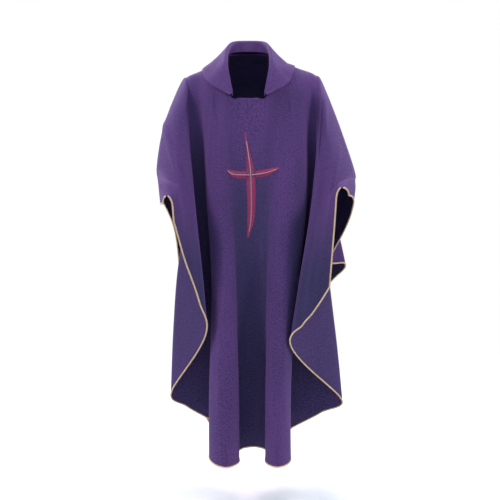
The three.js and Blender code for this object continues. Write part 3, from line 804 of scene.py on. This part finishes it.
FELT_LOOK = felt("stabiliser_felt", colour(0.72, 0.70, 0.66), colour(0.52, 0.50, 0.47))


# ---------------------------------------------------------------- pieces

FRONT = panel(FRONT_NECK, FRONT_RIGHT, FRONT_CENTRE, FRONT_LEFT)
BACK = panel(BACK_NECK, BACK_RIGHT, BACK_CENTRE, BACK_LEFT)
TO_FRONT, TO_BACK = -1, 1


def own(obj, *nodes):
    """Puts a piece on the garment's body, in place of its plain solid."""
    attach(obj, "root")
    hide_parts(*nodes)
    return obj


# Ridges and furrows by their ends' x and z, half width and rise, in millimetres
FRONT_CREASES = [
    (-288, -150, -214, -375, 9, 5), (-262, -180, -205, -360, 8, -4), (-292, -330, -236, -385, 8, 4),
    (240, -55, 226, -330, 3.5, -5), (252, -70, 240, -330, 7, 3), (300, -250, 262, -390, 8, 4),
    (-78, -150, -66, -560, 6, 3), (-60, -180, -48, -620, 7, -2), (-34, -260, -38, -620, 6, 2),
    (96, -150, 104, -620, 6, 3), (76, -220, 86, -640, 6, -2), (34, -420, 60, -760, 8, 2),
    (-112, -60, -128, -330, 6, 3), (-96, -110, -104, -420, 7, -2), (132, -60, 150, -360, 6, 3),
    (-92, -760, -98, -1180, 7, 3), (-66, -800, -60, -1180, 6, -2), (112, -760, 118, -1180, 6, 2),
    (78, -820, 82, -1180, 6, 3),
]
BACK_CREASES = [
    (-60, -120, -52, -700, 8, 3), (20, -200, 28, -900, 8, 3), (90, -150, 86, -800, 7, -3),
    (-130, -120, -124, -700, 7, 3), (150, -150, 150, -700, 8, 3), (-220, -100, -214, -600, 9, 3),
    (236, -120, 240, -560, 9, 3), (-20, -500, -10, -1180, 7, -3), (60, -600, 66, -1180, 7, 3),
]

front_grid = creased(wrinkled(cloth_grid(FRONT), FRONT_SEED), FRONT_CREASES, TO_FRONT)
back_grid = creased(wrinkled(cloth_grid(BACK)[::-1], BACK_SEED), BACK_CREASES, TO_BACK)
front_edge = border(front_grid)
back_edge = border(back_grid)

# Painted shade goes into both panels' side valleys, and into the front's broad hollows too
front_cloth = own(sheet_object("front_panel_cloth", front_grid, CLOTH, CLOTH_LOOK, front_edge,
                               LINING_LOOK, painted_shade_depth(front_grid, FRONT, 1)), "front_panel")
back_cloth = own(sheet_object("back_panel_cloth", back_grid, CLOTH, CLOTH_LOOK, back_edge,
                              LINING_LOOK, painted_shade_depth(back_grid, BACK, 0)), "back_panel")


def braid(name, edge, node):
    """The gold cord round a panel's free edge."""
    path = even_path(edge[::2], BRAID_STEP)
    return own(twisted_cord(name, path, BRAID_RADIUS, BRAID_PITCH, BRAID_SIDES, GOLD_LOOK,
                            BRAID_GROOVE), node)


front_braid = braid("front_edge_braid", front_edge, "front_edge_piping")
back_braid = braid("back_edge_braid", back_edge, "back_edge_piping")


def collar_grid():
    """The collar's middle surface, from the right front corner round to the left."""
    half = np.array(COLLAR, float)
    other = half[-2::-1] * (-1, 1, 1)
    rows = np.vstack([half, other])
    grid = []
    for seam, roll, edge in along(rows, np.linspace(0, len(rows) - 1, COLLAR_STEPS + 1)):
        out = edge - roll
        out[2] = 0
        out /= np.linalg.norm(out)
        radius = min(COLLAR_ROLL, COLLAR_ROLL_SHARE * math.hypot(*(edge - roll)[:2]))
        middle = roll + out * radius - (0, 0, radius)
        arc = [middle + out * radius * math.cos(a) + np.array((0, 0, radius * math.sin(a)))
               for a in np.radians(COLLAR_ROLL_DEGREES)]
        sag = FALL_SAG * np.linalg.norm(edge - arc[-1])
        fall = [arc[-1] + (edge - arc[-1]) * share - (0, 0, sag * math.sin(math.pi * share))
                for share in FALL_SHARES]
        section = np.array([seam, (seam + arc[0]) / 2, *arc, *fall])
        grid.append(along(section, np.linspace(0, len(section) - 1, COLLAR_ROWS)))
    return np.array(grid)[::-1] * MM


def settled(grid):
    """Lets the fall of the collar sink until it lies on the shoulders."""
    vertices, faces = [], []
    for panel_grid in (front_grid[:, :SHOULDER_ROWS], back_grid[:, :SHOULDER_ROWS]):
        columns, rows = panel_grid.shape[:2]
        base = len(vertices)
        vertices += [Vector(p) for p in panel_grid.reshape(-1, 3)]
        faces += [tuple(base + k for k in f) for f in grid_faces(columns, rows)]
    cloth = BVHTree.FromPolygons(vertices, faces)
    grid = grid.copy()
    rows = grid.shape[1]
    for i in range(len(grid)):
        for j in range(rows // 2, rows):
            share = (j - rows // 2) / (rows - 1 - rows // 2)
            x, y, z = grid[i, j]
            above = Vector((x, y, z + PROBE_ABOVE))
            hit = cloth.ray_cast(above, Vector((0, 0, -1)), PROBE_LENGTH)[0]
            lowest = hit.z + COLLAR_CLEARANCE if hit else NOTHING_BELOW
            sink = COLLAR_SINK * share * smooth_step(*SINK_DEPTHS, y)
            grid[i, j, 2] = min(z + COLLAR_RISE, max(z - sink, lowest))
            grid[i, j, 1] -= COLLAR_LIFT * share * (1 - smooth_step(*LIFT_DEPTHS, y))
    return grid


def offset(grid, distance):
    """The grid moved along its normals."""
    return grid + grid_normals(grid) * distance


def closed_offset(grid, distance, least):
    """An offset that draws in to the least one at the ends and the free edge."""
    columns, rows = grid.shape[:2]
    end = np.minimum(np.arange(columns), np.arange(columns)[::-1])[:, None]
    edge = np.minimum(end, np.arange(rows)[::-1][None, :])
    share = smooth_step(0, LAYER_CLOSES_OVER, edge)[:, :, None]
    return grid + grid_normals(grid) * (least + (distance - least) * share)


collar = settled(collar_grid())
upper = closed_offset(collar, LAYER_PITCH, EDGE_PITCH)
under = closed_offset(collar, -LAYER_PITCH, -EDGE_PITCH)
inner = collar[INTERFACING_ENDS:-INTERFACING_ENDS, INTERFACING_EDGES:-INTERFACING_EDGES]
collar_edge = np.vstack([upper[0], upper[1:-1, -1], upper[-1, ::-1]])
collar_upper = own(sheet_object("collar_upper_cloth", upper, LAYER, COLLAR_LOOK, collar_edge),
                   "upper_collar")
collar_under = own(sheet_object("collar_under_cloth", under, LAYER, COLLAR_LOOK, collar_edge),
                   "under_collar")
collar_inner = own(sheet_object("collar_interfacing_felt", inner, LAYER, FELT_LOOK),
                   "collar_interfacing")


def at_distance(column, distances):
    """Points of a column at these distances from its top."""
    lengths = run_lengths(column)
    return np.column_stack([np.interp(distances, lengths, column[:, k]) for k in range(3)])


def at_height(column, heights):
    """Points of a column at these heights."""
    return np.column_stack([np.interp(-np.asarray(heights), -column[:, 2], column[:, k])
                            for k in range(3)])


def facing(name, grid, first, last, node):
    """A strip inside the neckline, between two columns of the panel."""
    depths = np.linspace(FACING_EDGE, FACING_DEPTH, FACING_ROWS)
    strip = np.array([at_distance(c, depths) for c in grid[first:last + 1]])
    return own(sheet_object(name, offset(strip, -FACING_GAP), FACING, FACING_LOOK), node)


NECK = len(RIGHT_ARM)
front_facing = facing("front_neck_facing_cloth", front_grid, NECK * PER_FOLD + FACING_INSET,
                      (NECK + len(FRONT_NECK) - 1) * PER_FOLD - FACING_INSET, "front_neck_facing")
back_facing = facing("back_neck_facing_cloth", back_grid, NECK * PER_FOLD,
                     (NECK + len(BACK_NECK) - 1) * PER_FOLD, "back_neck_facing")


def shoulder_tape(name, columns, node):
    """A tape under a shoulder seam: half of it inside the front, half inside the back."""
    down = np.linspace(TAPE_HALF_WIDTH, TAPE_EDGE, TAPE_ROWS)
    strip = np.array([np.vstack([at_distance(f, down), at_distance(b, down[::-1])])
                      for f, b in zip(front_grid[columns], back_grid[::-1][columns])])
    cloth = sheet_object(name, offset(strip[::-1], -TAPE_GAP), FACING, FACING_LOOK)
    return own(cloth, node)


tape_from = TAPE_FIRST_FOLD * PER_FOLD
tape_to = (NECK - TAPE_ENDS_BEFORE_NECK) * PER_FOLD
right_tape = shoulder_tape("right_shoulder_tape_cloth", slice(tape_from, tape_to),
                           "right_shoulder_tape")
left_tape = shoulder_tape("left_shoulder_tape_cloth", slice(-tape_to, -tape_from),
                          "left_shoulder_tape")


# The embroidered cross

chest = front_grid[CHEST_FOLDS[0] * PER_FOLD:CHEST_FOLDS[1] * PER_FOLD + 1]


def chest_map():
    xs = np.linspace(*CHEST_WIDTH, CHEST_COLUMNS)
    zs = np.linspace(*CHEST_HEIGHT, CHEST_ROWS)
    table = np.empty((len(zs), len(xs)))
    for i, z in enumerate(zs):
        line = np.array([at_height(c, [z])[0] for c in chest])
        table[i] = np.interp(xs, line[:, 0], line[:, 1])
    return xs, zs, table


CHEST_X, CHEST_Z, CHEST_Y = chest_map()


def chest_depth(x, z):
    """The chest's y at a place on it."""
    i = np.clip((z - CHEST_Z[0]) / (CHEST_Z[1] - CHEST_Z[0]), 0, len(CHEST_Z) - 1.001)
    k = int(i)
    low = np.interp(x, CHEST_X, CHEST_Y[k])
    high = np.interp(x, CHEST_X, CHEST_Y[k + 1])
    return low + (high - low) * (i - k)


def satin(name, stations, upright, node):
    """Parallel stitches across a blade, with the ragged edge that real stitching has."""
    stations = np.array(stations, float) * MM
    fine = along(stations, np.linspace(0, len(stations) - 1, BLADE_STATIONS))
    span = abs(fine[-1, 0] - fine[0, 0])
    points, faces, weave = [], [], []
    count = int(span / STITCH_PITCH)
    order = np.argsort(fine[:, 0])
    for i in range(count):
        place = fine[:, 0].min() + span * (i + 0.5) / count
        low = np.interp(place, fine[order, 0], fine[order, 1])
        high = np.interp(place, fine[order, 0], fine[order, 2])
        slant = random.uniform(-STITCH_SLANT, STITCH_SLANT) * MM
        low -= random.uniform(0.0, STITCH_RAGGED) * MM
        high += random.uniform(0.0, STITCH_RAGGED) * MM
        lift = random.uniform(*STITCH_UNEVEN)
        base = len(points)
        for j in range(STITCH_POINTS):
            share = j / (STITCH_POINTS - 1)
            crown = math.sin(math.pi * share) ** 0.5
            half = STITCH_HALF * (STITCH_END_WIDTH + (1 - STITCH_END_WIDTH) * crown)
            across = low + (high - low) * share
            for side, up in STITCH_SECTION:
                step = place + slant * (share - 0.5) + side * half
                x, z = (across, step) if upright else (step, across)
                y = chest_depth(x, z) - CLOTH / 2 - STITCH_SINK
                y -= STITCH_LIFT * crown * (STITCH_BASE + STITCH_CROWN * up) * lift
                points.append((x, y, z))
                weave.append((step, across, i * STITCH_SHADE_STEP))
        width = len(STITCH_SECTION)
        for j in range(STITCH_POINTS - 1):
            for k in range(width - 1):
                a = base + j * width + k
                quad = (a, a + 1, a + width + 1, a + width)
                faces.append(quad if upright else quad[::-1])
    obj = mesh_object(name, points, faces, CRIMSON_LOOK)
    attribute(obj, "weave", weave)
    return own(obj, node)


def couched(name, run, upright, node):
    """A twisted metallic cord laid along the middle of a blade."""
    stations, first, last = run
    fine = along(np.array(stations, float) * MM, np.linspace(first, last, CORD_STATIONS))
    middle = (fine[:, 1] + fine[:, 2]) / 2
    x, z = (middle, fine[:, 0]) if upright else (fine[:, 0], middle)
    lift = CLOTH / 2 + STITCH_LIFT + SILVER_LIFT
    path = np.array([(a, chest_depth(a, b) - lift, b) for a, b in zip(x, z)])
    return own(twisted_cord(name, even_path(path, SILVER_STEP), SILVER_RADIUS, SILVER_PITCH,
                            SILVER_SIDES, SILVER_LOOK, SILVER_GROOVE), node)


satin("upright_satin_stitch", UPRIGHT, True, "cross_upright")
satin("right_arm_satin_stitch", RIGHT_ARM_BLADE, False, "cross_right_arm")
satin("left_arm_satin_stitch", LEFT_ARM_BLADE, False, "cross_left_arm")
couched("upright_silver_cord", UPRIGHT_CORD, True, "upright_cord")
couched("right_arm_silver_cord", RIGHT_ARM_CORD, False, "right_arm_cord")
couched("left_arm_silver_cord", LEFT_ARM_CORD, False, "left_arm_cord")

backing = np.array([at_height(c, np.linspace(*STABILISER_HEIGHT, STABILISER_ROWS)) for c in chest])
stabiliser = own(sheet_object("cross_stabiliser_felt", offset(backing, -STABILISER_GAP), STABILISER,
                              FELT_LOOK), "cross_stabiliser")


# ---------------------------------------------------------------- studio

def look_at(obj, target):
    """Turns an object's -Z axis to a point."""
    direction = Vector(target) - obj.location
    obj.rotation_euler = direction.to_track_quat("-Z", "Y").to_euler()


def area_light(name, place, target, size, power, tint):
    """A round soft lamp."""
    data = bpy.data.lights.new(name, "AREA")
    data.shape = "DISK"
    data.size = size
    data.energy = power
    data.color = tint
    obj = bpy.data.objects.new(name, data)
    obj.location = place
    bpy.context.scene.collection.objects.link(obj)
    look_at(obj, target)


def studio():
    """Soft lamps on each side, light from all round, and a white backdrop."""
    scene = bpy.context.scene
    scene.view_settings.view_transform = "Standard"
    for lamp in LAMPS:
        area_light(*lamp)
    world = bpy.data.worlds.new("studio")
    scene.world = world
    world.use_nodes = True
    tree = world.node_tree
    ambient = tree.nodes["Background"]
    ambient.inputs["Color"].default_value = AMBIENT
    ambient.inputs["Strength"].default_value = AMBIENT_STRENGTH
    backdrop = tree.nodes.new("ShaderNodeBackground")
    backdrop.inputs["Color"].default_value = BACKDROP
    path = tree.nodes.new("ShaderNodeLightPath")
    mix = tree.nodes.new("ShaderNodeMixShader")
    tree.links.new(path.outputs["Is Camera Ray"], mix.inputs[0])
    tree.links.new(ambient.outputs[0], mix.inputs[1])
    tree.links.new(backdrop.outputs[0], mix.inputs[2])
    tree.links.new(mix.outputs[0], tree.nodes["World Output"].inputs["Surface"])


def floor():
    """A plain pale disc that fades out into the backdrop."""
    z = cad_box[0].z - FLOOR_BELOW_HEM
    turns = [2 * math.pi * k / FLOOR_SIDES for k in range(FLOOR_SIDES)]
    points = [(0, 0, z)]
    for i in range(1, FLOOR_RINGS + 1):
        r = FLOOR_RADIUS * i / FLOOR_RINGS
        points += [(r * math.cos(a), r * math.sin(a), z) for a in turns]
    faces = [(0, 1 + k, 1 + (k + 1) % FLOOR_SIDES) for k in range(FLOOR_SIDES)]
    for i in range(FLOOR_RINGS - 1):
        for k in range(FLOOR_SIDES):
            a = 1 + i * FLOOR_SIDES + k
            b = 1 + i * FLOOR_SIDES + (k + 1) % FLOOR_SIDES
            faces.append((a, a + FLOOR_SIDES, b + FLOOR_SIDES, b))
    n = Nodes("pale_floor")
    place = n.add("TexCoord").outputs["Object"]
    radius = n.add("VectorMath", {0: place}, operation="LENGTH").outputs["Value"]
    grain = n.noise(place, *FLOOR_GRAIN)
    n.link(n.blend(n.ranged(grain, *FLOOR_GRAIN_RANGE), FLOOR_DARK, FLOOR_LIGHT), "Base Color")
    n.shader.inputs["Roughness"].default_value = FLOOR_ROUGHNESS
    n.link(n.ranged(radius, FLOOR_FADES_FROM, FLOOR_RADIUS, 1.0, 0.0), "Alpha")
    disc = mesh_object("floor", points, faces, n.material)


def camera():
    """Looks at the front from about chest height, tilted a little downwards."""
    data = bpy.data.cameras.new("camera")
    data.lens = CAMERA_LENS
    data.sensor_width = CAMERA_SENSOR
    obj = bpy.data.objects.new("camera", data)
    obj.location = CAMERA_PLACE
    obj.rotation_euler = (math.radians(90 - CAMERA_DOWN), 0, 0)
    bpy.context.scene.collection.objects.link(obj)
    bpy.context.scene.camera = obj


studio()
floor()
camera()
